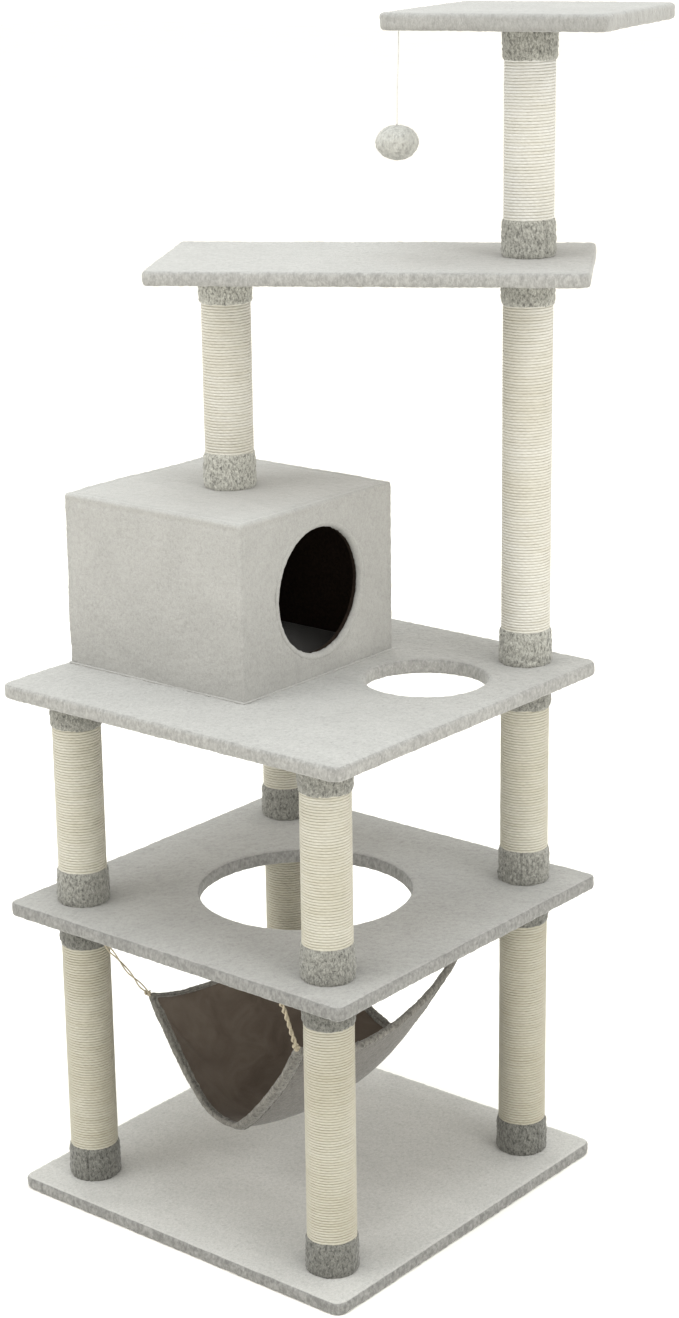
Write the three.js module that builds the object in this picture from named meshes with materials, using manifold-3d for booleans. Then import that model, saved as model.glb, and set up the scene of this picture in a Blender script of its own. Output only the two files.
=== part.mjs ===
// A floor-standing cat tree: five plush-covered plates on sisal posts, a cat house,
// a hammock slung under the shelf and a plush ball on a string. Millimetres, +Z up.
// The origin is the centre of the base's underside. The house entrance faces +X.
import * as THREE from 'three';
import { mergeVertices } from 'three/addons/utils/BufferGeometryUtils.js';
import Module from 'manifold-3d';

const wasm = await Module();
wasm.setup();

// Clearance between pieces that touch, and the thickness of the plush fabric.
const GAP = 0.3;
const PLUSH = 3.5;

// Heights of the five levels, built up from the floor.
const BASE_TOP = 22;
const PLATE = 23;
const LOWER_POST = 515;
const MIDDLE_POST = 387;
const TALL_POST = 693;
const TOP_POST = 383;
const SHELF_BOTTOM = BASE_TOP + LOWER_POST;
const SHELF_TOP = SHELF_BOTTOM + PLATE;
const PLATFORM_BOTTOM = SHELF_TOP + MIDDLE_POST;
const PLATFORM_TOP = PLATFORM_BOTTOM + PLATE;
const BRIDGE_BOTTOM = PLATFORM_TOP + TALL_POST;
const BRIDGE_TOP = BRIDGE_BOTTOM + PLATE;
const PERCH_BOTTOM = BRIDGE_TOP + TOP_POST;
const PERCH_TOP = PERCH_BOTTOM + PLATE;

// Plan sizes of the plates: width along X, depth along Y, corner radius, centre, turn about Z.
const BASE = { width: 749, depth: 750, corner: 35, x: 0, y: 0, turn: 0 };
const SHELF = { width: 757, depth: 740, corner: 22, x: 0, y: 0, turn: 0 };
const PLATFORM = { width: 751, depth: 731, corner: 22, x: 7, y: -7, turn: 0 };
const BRIDGE = { width: 737, depth: 375, corner: 20, x: 70, y: 131, turn: 32.2 };
const PERCH = { width: 380, depth: 405, corner: 20, x: 270, y: 298, turn: 16.4 };
const SHELF_HOLE = { x: 0, y: 0, radius: 193 };
const PLATFORM_HOLE = { x: 201, y: 96, radius: 109 };

// Posts: a cardboard tube with a wooden plug in each end, wound with sisal rope between
// two plush collars. The four columns stand at the corners, the tower on the back right one.
const COLUMN_X = 282;
const COLUMN_Y = 280;
const ROOF_POST_X = -160;
const ROOF_POST_Y = 4;
const TUBE_RADIUS = 38.5;
const TUBE_BORE = 35;
const ROPE_RADIUS = 42.5;
const COLLAR_RADIUS = 45;
const COLLAR_BORE = TUBE_RADIUS + GAP;
const BOTTOM_COLLAR = 65;
const TOP_COLLAR = 58;
const PLUG = 25;
const STUD_RADIUS = 4;
const STUD_HOLE = STUD_RADIUS + GAP;
const POST_SIDES = 16;

// House: four walls and a roof of chipboard under one plush skin, open at the bottom.
const HOUSE = { width: 406, depth: 404, height: 310, x: -154, y: -8 };
const WALL = 12;
const ENTRANCE = { y: -7, z: 1126, radius: 112 };

// Hammock: its four corners, lowest first edge at the front, and how far each edge sags.
const HAMMOCK = {
  frontLeft: new THREE.Vector3(-191, -215, 377),
  frontRight: new THREE.Vector3(159, -219, 372),
  backRight: new THREE.Vector3(187, 225, 427),
  backLeft: new THREE.Vector3(-160, 225, 390),
  frontSag: 211,
  backSag: 178,
  frontPull: 37,
  backPull: 30,
  leftSag: 30,
  rightSag: 60,
  frontLow: 0.48,
  backLow: 0.65,
  leftCurve: 2.9,
  rightCurve: 1.16,
  backCurve: 1.6,
  thickness: 5,
};

// Ball toy: a knot under the perch, a string and an oval plush ball.
const TOY = { x: 159, y: 84, knot: 2.4, string: 0.75, radius: 35, height: 57, centre: 1886 };

const materials = {
  plush: new THREE.MeshStandardMaterial({ color: 0xc9c8c3, roughness: 0.95, metalness: 0 }),
  collar: new THREE.MeshStandardMaterial({ color: 0x9a9c98, roughness: 0.95, metalness: 0 }),
  sisal: new THREE.MeshStandardMaterial({ color: 0xe9e2cf, roughness: 0.9, metalness: 0 }),
  board: new THREE.MeshStandardMaterial({ color: 0xb08d62, roughness: 0.8, metalness: 0 }),
  cloth: new THREE.MeshStandardMaterial({ color: 0x8f8a86, roughness: 0.9, metalness: 0 }),
  cord: new THREE.MeshStandardMaterial({ color: 0xd9ccb0, roughness: 0.85, metalness: 0 }),
  steel: new THREE.MeshStandardMaterial({ color: 0xb5b8bb, roughness: 0.35, metalness: 1 }),
};

const group = new THREE.Group();

function addMesh(name, geometry, material) {
  const mesh = new THREE.Mesh(geometry, material);
  mesh.name = name;
  group.add(mesh);
  return mesh;
}

// --- closed solids for joining and cutting ---

function toSolid(geometry) {
  const bare = geometry.clone();
  bare.deleteAttribute('normal');
  bare.deleteAttribute('uv');
  const merged = mergeVertices(bare, 1e-4);
  const vertProperties = new Float32Array(merged.attributes.position.array);
  const triVerts = new Uint32Array(merged.index.array);
  return new wasm.Manifold(new wasm.Mesh({ numProp: 3, vertProperties, triVerts }));
}

function toGeometry(solid) {
  const cut = solid.getMesh();
  const geometry = new THREE.BufferGeometry();
  geometry.setAttribute('position', new THREE.BufferAttribute(new Float32Array(cut.vertProperties), 3));
  geometry.setIndex(new THREE.BufferAttribute(new Uint32Array(cut.triVerts), 1));
  geometry.computeVertexNormals();
  return geometry;
}

function cylinder(radius, low, high, x, y, sides) {
  const geometry = new THREE.CylinderGeometry(radius, radius, high - low, sides);
  geometry.rotateX(Math.PI / 2);
  geometry.translate(x, y, (low + high) / 2);
  return geometry;
}

function box(lowX, lowY, lowZ, highX, highY, highZ) {
  const geometry = new THREE.BoxGeometry(highX - lowX, highY - lowY, highZ - lowZ);
  geometry.translate((lowX + highX) / 2, (lowY + highY) / 2, (lowZ + highZ) / 2);
  return geometry;
}

// --- plates: a board inside a plush cover ---

// A flat slab with round corners, in its plate's own place, between two heights.
function slab(plate, inset, low, high) {
  const halfWidth = plate.width / 2 - inset;
  const halfDepth = plate.depth / 2 - inset;
  const corner = plate.corner - inset;
  const outline = new THREE.Shape();
  outline.absarc(halfWidth - corner, halfDepth - corner, corner, 0, Math.PI / 2, false);
  outline.absarc(corner - halfWidth, halfDepth - corner, corner, Math.PI / 2, Math.PI, false);
  outline.absarc(corner - halfWidth, corner - halfDepth, corner, Math.PI, Math.PI * 1.5, false);
  outline.absarc(halfWidth - corner, corner - halfDepth, corner, Math.PI * 1.5, Math.PI * 2, false);
  outline.closePath();
  const geometry = new THREE.ExtrudeGeometry(outline, {
    depth: high - low,
    bevelEnabled: false,
    curveSegments: 5,
  });
  geometry.rotateZ(THREE.MathUtils.degToRad(plate.turn));
  geometry.translate(plate.x, plate.y, low);
  return geometry;
}

// The board and its cover. The cover goes over all faces, or leaves the underside open on the base.
function addPlate(name, plate, low, high, options) {
  const skin = PLUSH + GAP;
  const openBelow = options.openBelow === true;
  const boardLow = openBelow ? low : low + skin;
  let board = toSolid(slab(plate, skin, boardLow, high - skin));
  let cover = toSolid(slab(plate, 0, openBelow ? low + 1 : low, high));
  const cavityLow = openBelow ? low - 1 : low + PLUSH;
  cover = cover.subtract(toSolid(slab(plate, PLUSH, cavityLow, high - PLUSH)));
  if (options.hole) {
    const { x, y, radius } = options.hole;
    const sides = 48;
    const sleeve = toSolid(cylinder(radius + PLUSH, low + PLUSH / 2, high - PLUSH / 2, x, y, sides));
    const through = toSolid(cylinder(radius, low - 1, high + 1, x, y, sides));
    board = board.subtract(toSolid(cylinder(radius + skin, low - 1, high + 1, x, y, sides)));
    cover = cover.add(sleeve).subtract(through);
  }
  for (const stud of options.studs) {
    const studLow = stud.below ? low - 1 : (low + high) / 2;
    const studHigh = stud.above ? high + 1 : (low + high) / 2;
    const hole = toSolid(cylinder(STUD_HOLE, studLow, studHigh, stud.x, stud.y, 8));
    board = board.subtract(hole);
    cover = cover.subtract(hole);
  }
  addMesh(`${name}_board`, toGeometry(board), materials.board);
  addMesh(`${name}_cover`, toGeometry(cover), materials.plush);
}

const columns = [
  { name: 'front_left', x: -COLUMN_X, y: -COLUMN_Y },
  { name: 'front_right', x: COLUMN_X, y: -COLUMN_Y },
  { name: 'back_left', x: -COLUMN_X, y: COLUMN_Y },
  { name: 'back_right', x: COLUMN_X, y: COLUMN_Y },
];
const tower = columns[3];
const roofPost = { x: ROOF_POST_X, y: ROOF_POST_Y };

function studsAt(places, below, above) {
  return places.map((place) => ({ x: place.x, y: place.y, below, above }));
}

addPlate('base', BASE, 0, BASE_TOP, { openBelow: true, studs: studsAt(columns, true, true) });
addPlate('shelf', SHELF, SHELF_BOTTOM, SHELF_TOP, {
  hole: SHELF_HOLE,
  studs: studsAt(columns, true, true),
});
addPlate('platform', PLATFORM, PLATFORM_BOTTOM, PLATFORM_TOP, {
  hole: PLATFORM_HOLE,
  studs: [...studsAt(columns.slice(0, 3), true, false), ...studsAt([tower], true, true)],
});
addPlate('bridge', BRIDGE, BRIDGE_BOTTOM, BRIDGE_TOP, {
  studs: [...studsAt([roofPost], true, false), ...studsAt([tower], true, true)],
});
addPlate('perch', PERCH, PERCH_BOTTOM, PERCH_TOP, { studs: studsAt([tower], true, false) });

// --- house: panels inside a plush skin ---

function addHouse() {
  const halfWidth = HOUSE.width / 2;
  const halfDepth = HOUSE.depth / 2;
  const low = PLATFORM_TOP + GAP;
  const high = PLATFORM_TOP + HOUSE.height;
  const left = HOUSE.x - halfWidth;
  const right = HOUSE.x + halfWidth;
  const front = HOUSE.y - halfDepth;
  const back = HOUSE.y + halfDepth;
  const skin = PLUSH + GAP;
  const wallTop = high - skin - WALL - GAP;
  const innerFront = front + skin + WALL;
  const innerBack = back - skin - WALL;

  function entranceHole(radius) {
    const geometry = new THREE.CylinderGeometry(radius, radius, WALL * 4, 40);
    geometry.rotateZ(Math.PI / 2);
    geometry.translate(right, ENTRANCE.y, ENTRANCE.z);
    return toSolid(geometry);
  }

  const stud = toSolid(cylinder(STUD_HOLE, wallTop, high + 1, ROOF_POST_X, ROOF_POST_Y, 8));
  let cover = toSolid(box(left, front, low, right, back, high));
  cover = cover.subtract(
    toSolid(box(left + PLUSH, front + PLUSH, low - 1, right - PLUSH, back - PLUSH, high - PLUSH)),
  );
  cover = cover.subtract(entranceHole(ENTRANCE.radius)).subtract(stud);
  addMesh('house_cover', toGeometry(cover), materials.plush);

  const frontPanel = box(left + skin, front + skin, low, right - skin, innerFront, wallTop);
  addMesh('house_front_panel', frontPanel, materials.board);
  const backPanel = box(left + skin, innerBack, low, right - skin, back - skin, wallTop);
  addMesh('house_back_panel', backPanel, materials.board);
  const sideFront = innerFront + GAP;
  const sideBack = innerBack - GAP;
  const leftPanel = box(left + skin, sideFront, low, left + skin + WALL, sideBack, wallTop);
  addMesh('house_left_panel', leftPanel, materials.board);
  const rightPanel = box(right - skin - WALL, sideFront, low, right - skin, sideBack, wallTop);
  const entrancePanel = toSolid(rightPanel).subtract(entranceHole(ENTRANCE.radius + GAP));
  addMesh('house_entrance_panel', toGeometry(entrancePanel), materials.board);
  const roof = box(left + skin, front + skin, wallTop + GAP, right - skin, back - skin, high - skin);
  addMesh('house_roof_panel', toGeometry(toSolid(roof).subtract(stud)), materials.board);
}
addHouse();

// --- posts ---

// A ring turned about Z from a closed outline of [radius, height] points.
function turned(points, x, y, z) {
  const outline = points.map(([radius, height]) => new THREE.Vector2(radius, height));
  outline.push(outline[0].clone());
  const geometry = new THREE.LatheGeometry(outline, POST_SIDES);
  geometry.rotateX(Math.PI / 2);
  geometry.translate(x, y, z);
  return geometry;
}

function addPost(name, place, bottom, length) {
  const low = GAP;
  const high = length - GAP;
  const ropeLow = BOTTOM_COLLAR + GAP;
  const ropeHigh = length - TOP_COLLAR - GAP;
  const core = [
    [STUD_HOLE, low],
    [TUBE_RADIUS, low],
    [TUBE_RADIUS, ropeLow],
    [ROPE_RADIUS, ropeLow],
    [ROPE_RADIUS, ropeHigh],
    [TUBE_RADIUS, ropeHigh],
    [TUBE_RADIUS, high],
    [STUD_HOLE, high],
    [STUD_HOLE, high - PLUG],
    [TUBE_BORE, high - PLUG],
    [TUBE_BORE, low + PLUG],
    [STUD_HOLE, low + PLUG],
  ];
  const ring = (from, to) => [
    [COLLAR_BORE, from],
    [COLLAR_RADIUS, from],
    [COLLAR_RADIUS, to],
    [COLLAR_BORE, to],
  ];
  const bottomRing = ring(low, BOTTOM_COLLAR);
  const topRing = ring(length - TOP_COLLAR, high);
  addMesh(name, turned(core, place.x, place.y, bottom), materials.sisal);
  addMesh(`${name}_bottom_collar`, turned(bottomRing, place.x, place.y, bottom), materials.collar);
  addMesh(`${name}_top_collar`, turned(topRing, place.x, place.y, bottom), materials.collar);
}

for (const column of columns) {
  addPost(`lower_post_${column.name}`, column, BASE_TOP, LOWER_POST);
  addPost(`middle_post_${column.name}`, column, SHELF_TOP, MIDDLE_POST);
}
addPost('tall_post', tower, PLATFORM_TOP, TALL_POST);
addPost('top_post', tower, BRIDGE_TOP, TOP_POST);
const ROOF_TOP = PLATFORM_TOP + HOUSE.height;
addPost('roof_post', roofPost, ROOF_TOP, BRIDGE_BOTTOM - ROOF_TOP);

// Threaded studs that carry the tower through the platform, the bridge and the house roof.
function addStud(name, place, plateLow, plateHigh, bite) {
  const low = plateLow - bite;
  const high = plateHigh + PLUG - 2;
  addMesh(name, cylinder(STUD_RADIUS, low, high, place.x, place.y, 12), materials.steel);
}
addStud('platform_stud', tower, PLATFORM_BOTTOM, PLATFORM_TOP, PLUG - 2);
addStud('bridge_stud', tower, BRIDGE_BOTTOM, BRIDGE_TOP, PLUG - 2);
addStud('roof_stud', roofPost, ROOF_TOP - PLUSH - GAP - WALL, ROOF_TOP, 0);

// --- hammock ---

// A point of the hanging cloth: u runs from the left rail to the right, v from front to back.
function hammockPoint(u, v) {
  const smooth = v * v * (3 - 2 * v);
  const front = HAMMOCK.frontLeft.clone().lerp(HAMMOCK.frontRight, u);
  const back = HAMMOCK.backLeft.clone().lerp(HAMMOCK.backRight, u);
  const point = front.lerp(back, v);
  const lowest = THREE.MathUtils.lerp(HAMMOCK.frontLow, HAMMOCK.backLow, smooth);
  const reach = u < lowest ? (lowest - u) / lowest : (u - lowest) / (1 - lowest);
  const frontCurve = u < lowest ? HAMMOCK.leftCurve : HAMMOCK.rightCurve;
  const trough = 1 - reach ** THREE.MathUtils.lerp(frontCurve, HAMMOCK.backCurve, smooth);
  const sag = THREE.MathUtils.lerp(HAMMOCK.frontSag, HAMMOCK.backSag, smooth);
  const rail = THREE.MathUtils.lerp(HAMMOCK.leftSag, HAMMOCK.rightSag, u) * 4 * v * (1 - v);
  point.z -= sag * trough + rail;
  const pull = HAMMOCK.frontPull * (1 - v) ** 2 - HAMMOCK.backPull * v ** 2;
  point.y += pull * trough;
  return point;
}

function hammockCloth() {
  const geometry = new THREE.BoxGeometry(1, 1, 1, 18, 10, 1);
  const position = geometry.attributes.position;
  const step = 1e-3;
  for (let i = 0; i < position.count; i += 1) {
    const u = position.getX(i) + 0.5;
    const v = position.getY(i) + 0.5;
    const side = position.getZ(i) * HAMMOCK.thickness;
    const here = hammockPoint(u, v);
    const across = hammockPoint(Math.min(u + step, 1), v).sub(hammockPoint(Math.max(u - step, 0), v));
    const along = hammockPoint(u, Math.min(v + step, 1)).sub(hammockPoint(u, Math.max(v - step, 0)));
    const normal = across.cross(along).normalize();
    here.addScaledVector(normal, side);
    position.setXYZ(i, here.x, here.y, here.z);
  }
  geometry.computeVertexNormals();
  return geometry;
}
addMesh('hammock_cloth', hammockCloth(), materials.cloth);

// A round cord along a route of hand-placed points.
function cordAlong(route, radius, steps, sides) {
  const section = new THREE.Shape();
  for (let i = 0; i < sides; i += 1) {
    const angle = (i / sides) * Math.PI * 2;
    const x = radius * Math.cos(angle);
    const y = radius * Math.sin(angle);
    if (i === 0) section.moveTo(x, y);
    else section.lineTo(x, y);
  }
  section.closePath();
  return new THREE.ExtrudeGeometry(section, { steps, extrudePath: route, bevelEnabled: false });
}

// Doubled cords, each from a sewn corner of the hammock up to its eye under the shelf.
const CORD_RADIUS = 3;
const CORD_START = 7;
const EYE_Z = SHELF_BOTTOM - GAP;
const cordEnds = [
  { name: 'front_left', from: HAMMOCK.frontLeft, to: new THREE.Vector3(-196, -336, EYE_Z) },
  { name: 'front_right', from: HAMMOCK.frontRight, to: new THREE.Vector3(217, -331, EYE_Z) },
  { name: 'back_right', from: HAMMOCK.backRight, to: new THREE.Vector3(215, 333, EYE_Z) },
  { name: 'back_left', from: HAMMOCK.backLeft, to: new THREE.Vector3(-205, 334, EYE_Z) },
];
for (const { name, from, to } of cordEnds) {
  const direction = to.clone().sub(from).normalize();
  const start = from.clone().addScaledVector(direction, CORD_START);
  const end = to.clone().addScaledVector(direction, -CORD_RADIUS);
  const route = new THREE.LineCurve3(start, end);
  addMesh(`hammock_cord_${name}`, cordAlong(route, CORD_RADIUS, 12, 8), materials.cord);
}

// --- ball toy ---

const knotCentre = PERCH_BOTTOM - GAP - TOY.knot;
const knot = new THREE.SphereGeometry(TOY.knot, 10, 6);
knot.rotateX(Math.PI / 2);
knot.translate(TOY.x, TOY.y, knotCentre);
addMesh('toy_knot', knot, materials.cord);
const stringRoute = new THREE.LineCurve3(
  new THREE.Vector3(TOY.x, TOY.y, knotCentre - TOY.knot - GAP),
  new THREE.Vector3(TOY.x, TOY.y, TOY.centre + TOY.height / 2 + GAP),
);
addMesh('toy_string', cordAlong(stringRoute, TOY.string, 32, 8), materials.cord);
const ball = new THREE.SphereGeometry(TOY.radius, 16, 10);
ball.rotateX(Math.PI / 2);
ball.scale(1, 1, TOY.height / (2 * TOY.radius));
ball.translate(TOY.x, TOY.y, TOY.centre);
addMesh('toy_ball', ball, materials.plush);

export default group;
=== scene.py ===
import math

import bmesh
import bpy
import numpy as np
from mathutils import Matrix, Vector


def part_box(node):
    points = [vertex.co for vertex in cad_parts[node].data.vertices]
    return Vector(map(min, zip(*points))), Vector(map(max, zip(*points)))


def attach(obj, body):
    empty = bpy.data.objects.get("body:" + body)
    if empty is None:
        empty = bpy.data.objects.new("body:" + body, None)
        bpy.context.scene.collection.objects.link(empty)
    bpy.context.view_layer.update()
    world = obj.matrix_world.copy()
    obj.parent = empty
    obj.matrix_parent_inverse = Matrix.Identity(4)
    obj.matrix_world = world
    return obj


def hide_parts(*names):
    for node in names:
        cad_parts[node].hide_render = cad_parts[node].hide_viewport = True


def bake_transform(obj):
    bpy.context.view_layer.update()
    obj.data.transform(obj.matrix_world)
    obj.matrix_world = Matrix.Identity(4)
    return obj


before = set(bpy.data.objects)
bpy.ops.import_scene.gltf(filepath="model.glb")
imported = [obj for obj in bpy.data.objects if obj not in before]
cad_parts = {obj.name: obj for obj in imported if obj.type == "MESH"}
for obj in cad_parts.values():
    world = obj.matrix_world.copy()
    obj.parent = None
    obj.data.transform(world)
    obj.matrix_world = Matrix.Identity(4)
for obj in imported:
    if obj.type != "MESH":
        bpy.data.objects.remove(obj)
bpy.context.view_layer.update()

# ------------------------------------------------------------
# Camera. It stands to the right of the front corner, a little above the bridge, and looks
# down at the tree with a moderate telephoto lens.
# ------------------------------------------------------------
CAMERA_PLACE = (2.8187, -3.3395, 2.3045)
CAMERA_TURN = 39.29
CAMERA_DOWN = 16.73
CAMERA_ROLL = -0.77
camera = bpy.data.objects.new("camera", bpy.data.cameras.new("camera"))
bpy.context.scene.collection.objects.link(camera)
camera.data.lens = 71.05
camera.data.sensor_width = 36
turn_round = Matrix.Rotation(math.radians(CAMERA_TURN), 4, "Z")
look_down = Matrix.Rotation(math.radians(90 - CAMERA_DOWN), 4, "X")
roll = Matrix.Rotation(math.radians(CAMERA_ROLL), 4, "Z")
camera.matrix_world = Matrix.Translation(CAMERA_PLACE) @ turn_round @ look_down @ roll
bpy.context.scene.camera = camera

# ------------------------------------------------------------
# Base. A chipboard plate with round corners, wrapped in light grey short-pile plush that is
# pulled over the edges and stapled underneath, where the bare board stands on the floor.
# ------------------------------------------------------------


def placed(name, data):
    thing = bpy.data.objects.new(name, data)
    bpy.context.scene.collection.objects.link(thing)
    return thing


def finished_mesh(carrier):
    """The mesh that an object shows once its modifiers have run; the object itself is removed."""
    graph = bpy.context.evaluated_depsgraph_get()
    mesh = bpy.data.meshes.new_from_object(carrier.evaluated_get(graph), depsgraph=graph)
    bpy.data.objects.remove(carrier)
    return mesh


def add_piece(name, points, faces, material, body="tree", smooth=True):
    mesh = bpy.data.meshes.new(name)
    mesh.from_pydata([tuple(p) for p in points], [], faces)
    return add_mesh(name, mesh, material, body, smooth)


def add_mesh(name, mesh, material, body="tree", smooth=True):
    mesh.name = name
    mesh.materials.clear()
    mesh.materials.append(material)
    mesh.polygons.foreach_set("use_smooth", [smooth] * len(mesh.polygons))
    piece = placed(name, mesh)
    if body:
        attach(piece, body)
    return piece


def lumps(points, size, seed):
    """A smooth random height from -1 to 1 at each point, that changes over the given size."""
    cell = points / size + seed * 7.31
    low = np.floor(cell).astype(np.int64)
    part = cell - low
    part = part * part * (3 - 2 * part)
    total = np.zeros(len(points))
    for corner in np.ndindex(2, 2, 2):
        place = low + corner
        mixed = place[:, 0] * 73856093 ^ place[:, 1] * 19349663 ^ place[:, 2] * 83492791
        mixed = (mixed + seed * 97531) & 0x7FFFFFFF
        mixed = (mixed ^ (mixed >> 13)) * 1274126177 & 0x7FFFFFFF
        value = ((mixed ^ (mixed >> 16)) & 0xFFFF) / 32767.5 - 1
        total += value * np.prod(np.where(corner, part, 1 - part), axis=1)
    return total


def mesh_points(mesh):
    points = np.empty(len(mesh.vertices) * 3)
    mesh.vertices.foreach_get("co", points)
    normals = np.empty(len(mesh.vertices) * 3)
    mesh.vertices.foreach_get("normal", normals)
    return points.reshape(-1, 3), normals.reshape(-1, 3)


WAVE_SIZE = 0.075
LOCK_SIZE = 0.013
TUFT_SIZE = 0.0048


def raise_pile(mesh, tufts, waves, seed):
    """Moves the points in and out, as a short pile with combed tufts over soft backing does."""
    points, normals = mesh_points(mesh)
    height = waves * lumps(points, WAVE_SIZE, seed)
    height += 0.4 * tufts * lumps(points, LOCK_SIZE, seed + 1)
    height += tufts * lumps(points, TUFT_SIZE, seed + 2)
    mesh.vertices.foreach_set("co", (points + normals * height[:, None]).ravel())
    mesh.update()


def evened(mesh, voxel):
    """The same closed shape, meshed all over with small even faces."""
    carrier = placed("carrier", mesh)
    remesh = carrier.modifiers.new("even", "REMESH")
    remesh.mode = "VOXEL"
    remesh.voxel_size = voxel
    return finished_mesh(carrier)


def arc(x, y, radius, start, stop, steps):
    """Points along part of a circle, from the start angle to the stop angle."""
    return [
        (x + radius * math.cos(start + (stop - start) * i / steps),
         y + radius * math.sin(start + (stop - start) * i / steps))
        for i in range(steps + 1)
    ]


def slab_mesh(width, depth, thickness, corner, edge, hole):
    """A plate with round corners, rounded edges and an optional round hole (x, y, radius)."""
    half_x = width / 2 - edge
    half_y = depth / 2 - edge
    r = corner - edge
    quarter = math.pi / 2
    outline = []
    for k, (sx, sy) in enumerate([(1, 1), (-1, 1), (-1, -1), (1, -1)]):
        centre_x = sx * (half_x - r)
        centre_y = sy * (half_y - r)
        outline += arc(centre_x, centre_y, r, k * quarter, (k + 1) * quarter, 7)
    loops = [outline]
    if hole:
        loops.append(arc(hole[0], hole[1], hole[2] + edge, 0, 2 * math.pi, 120)[:-1])
    curve = bpy.data.curves.new("slab", "CURVE")
    curve.dimensions = "2D"
    curve.fill_mode = "BOTH"
    curve.extrude = thickness / 2 - edge
    curve.bevel_depth = edge
    curve.bevel_resolution = 3
    for loop in loops:
        spline = curve.splines.new("POLY")
        spline.points.add(len(loop) - 1)
        spline.points.foreach_set("co", [c for x, y in loop for c in (x, y, 0, 1)])
        spline.use_cyclic_u = True
    return finished_mesh(placed("slab", curve))


PLUSH_GRID = 0.0036
PLUSH_TUFT = 0.0007
PLUSH_WAVE = 0.0006
EDGE_ROUND = 0.0065


def plush_plate(name, size, thickness, corner, proud, centre, turn, seed, finish, hole=None):
    """The plush cover of one plate: its pile stands proud of the stated size all round."""
    if hole:
        hole = (hole[0], hole[1], hole[2] - proud)
    width = size[0] + 2 * proud
    depth = size[1] + 2 * proud
    mesh = slab_mesh(width, depth, thickness + 2 * proud, corner + proud, EDGE_ROUND, hole)
    mesh = evened(mesh, PLUSH_GRID)
    raise_pile(mesh, PLUSH_TUFT, PLUSH_WAVE, seed)
    mesh.transform(Matrix.Translation(centre) @ Matrix.Rotation(math.radians(turn), 4, "Z"))
    cover = add_mesh(f"{name}_plush", mesh, finish)
    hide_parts(f"{name}_cover")
    return cover


def flat_plate(name, corner, proud, seed, finish, hole=None):
    """A cover that lies square to the base, with its sizes from the frame."""
    low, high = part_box(f"{name}_cover")
    size = high - low
    centre = (low + high) / 2
    if hole:
        hole = (hole[0] - centre.x, hole[1] - centre.y, hole[2])
    return plush_plate(
        name, (size.x, size.y), size.z, corner, proud, centre, 0, seed, finish, hole
    )


class Finish:
    """A material under construction: short calls that add and join its nodes."""

    def __init__(self, name, roughness, sheen=0.0, metallic=0.0):
        self.material = bpy.data.materials.new(name)
        self.material.use_nodes = True
        self.tree = self.material.node_tree
        self.surface = self.tree.nodes["Principled BSDF"]
        self.fill(self.surface, {
            "Roughness": roughness, "Metallic": metallic, "Specular IOR Level": 0.25,
            "Sheen Weight": sheen, "Sheen Roughness": 0.45,
        })
        self.place = self.add("ShaderNodeTexCoord").outputs["Object"]

    def fill(self, node, inputs):
        for socket, value in inputs.items():
            node.inputs[socket].default_value = value

    def add(self, kind, inputs=(), **values):
        node = self.tree.nodes.new(kind)
        for key, value in values.items():
            setattr(node, key, value)
        self.fill(node, dict(inputs))
        return node

    def join(self, source, target):
        self.tree.links.new(source, target)

    def stretched(self, scale, place=None):
        mapping = self.add("ShaderNodeMapping", {"Scale": scale})
        self.join(place or self.place, mapping.inputs["Vector"])
        return mapping.outputs["Vector"]

    def noise(self, scale, detail=2.0, rough=0.5, distortion=0.0, place=None):
        inputs = {"Scale": scale, "Detail": detail, "Roughness": rough, "Distortion": distortion}
        node = self.add("ShaderNodeTexNoise", inputs)
        self.join(place or self.place, node.inputs["Vector"])
        return node.outputs["Fac"]

    def ramp(self, value, stops):
        node = self.add("ShaderNodeValToRGB")
        elements = node.color_ramp.elements
        while len(elements) < len(stops):
            elements.new(0.5)
        for element, (position, color) in zip(elements, stops):
            element.position = position
            element.color = (*color, 1)
        self.join(value, node.inputs["Fac"])
        return node.outputs["Color"]

    def blended(self, first, second, mode="MULTIPLY"):
        """Two colours as one; a mix node has them in sockets 6 and 7, and the result in 2."""
        node = self.add("ShaderNodeMix", {"Factor": 1.0}, data_type="RGBA", blend_type=mode)
        self.join(first, node.inputs[6])
        self.join(second, node.inputs[7])
        return node.outputs[2]

    def summed(self, first, second, weight):
        node = self.add("ShaderNodeMath", {1: weight}, operation="MULTIPLY_ADD")
        self.join(second, node.inputs[0])
        self.join(first, node.inputs[2])
        return node.outputs["Value"]

    def bump(self, height, distance, strength):
        node = self.add("ShaderNodeBump", {"Distance": distance, "Strength": strength})
        self.join(height, node.inputs["Height"])
        self.join(node.outputs["Normal"], self.surface.inputs["Normal"])

    def color(self, output):
        self.join(output, self.surface.inputs["Base Color"])


def grey(value, warmth=0.0):
    return (value * (1 + warmth), value, value * (1 - 1.6 * warmth))


def tinted(value, tint):
    return tuple(value * share for share in tint)


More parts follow.
